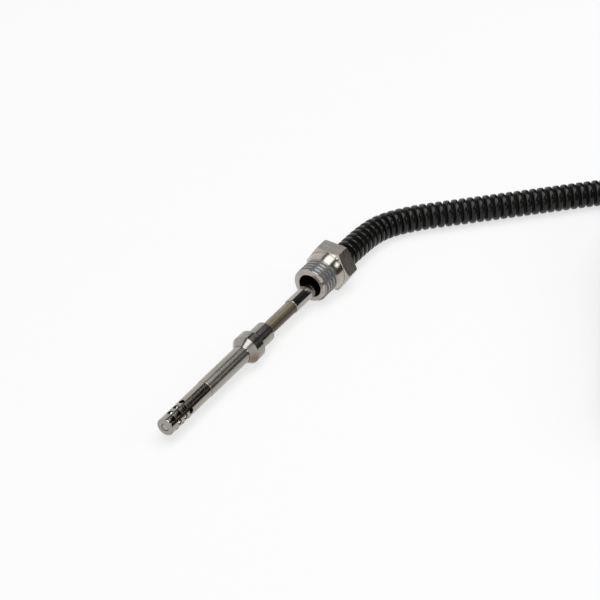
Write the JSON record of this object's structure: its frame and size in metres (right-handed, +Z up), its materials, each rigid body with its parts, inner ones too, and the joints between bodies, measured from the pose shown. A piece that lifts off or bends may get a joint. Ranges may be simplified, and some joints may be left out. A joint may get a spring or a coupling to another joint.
{
  "type": "exhaust temperature sensor",
  "caption": "Exhaust gas temperature probe with a perforated tip, a cone seal collar and a loose threaded union nut, on a corrugated conduit that ends in a sealed plug.",
  "frame": {"origin": "on the table under the middle of the probe, which is measured from its tip to the rear of its nut and ferrule", "axes": "+Y along the probe from its tip to the conduit, +Z up from the table, +X to the side the conduit bends to"},
  "size_m": [0.168, 0.1931, 0.0332],
  "materials": {
    "shield_steel": "satin stainless tube, fine turning marks",
    "collar_steel": "turned stainless, faint ring marks",
    "tinted_steel": "stainless with a brown heat tint",
    "ferrule_steel": "bright drawn tube",
    "nut_steel": "satin turned and milled steel, grey film in the thread",
    "ceramic": "matt white",
    "nickel_wire": "drawn wire",
    "brass": "tinned, dull",
    "glass_seal": "fused glass",
    "lead_cover": "extruded",
    "dark_rubber": "moulded",
    "conduit_black": "black, satin, corrugated",
    "plug_black": "black, moulded",
    "seal_orange": "moulded silicone",
    "lock_grey": "moulded"
  },
  "bodies": {
    "sensor": {"perforated_shield": "shield_steel", "element_cap": "tinted_steel", "sensing_element": "ceramic", "sheath_tube": "tinted_steel", "insulation_core": "ceramic", "conductor_left": "nickel_wire", "conductor_right": "nickel_wire", "stem_tube": "shield_steel", "seal_collar": "collar_steel", "transition_ferrule": "ferrule_steel", "end_seal": "glass_seal", "splice_left": "brass", "splice_right": "brass", "lead_left": "lead_cover", "lead_right": "lead_cover", "lead_grommet": "dark_rubber", "conduit_run": "conduit_black", "conduit_hank": "conduit_black", "conduit_tail": "conduit_black", "hank_tie": "plug_black", "plug_backshell": "plug_black", "plug_housing": "plug_black", "nose_seal": "seal_orange", "contact_lock": "lock_grey", "contact_left": "brass", "contact_right": "brass", "wire_seal_left": "seal_orange", "wire_seal_right": "seal_orange", "plug_lead_left": "lead_cover", "plug_lead_right": "lead_cover"},
    "nut": {"union_nut": "nut_steel"}
  },
  "joints": [
    {"name": "nut_slide", "type": "slide", "parent": "sensor", "child": "nut", "axis": [0, -0.9993, -0.0366], "range_m": [0, 0.03282]}
  ]
}
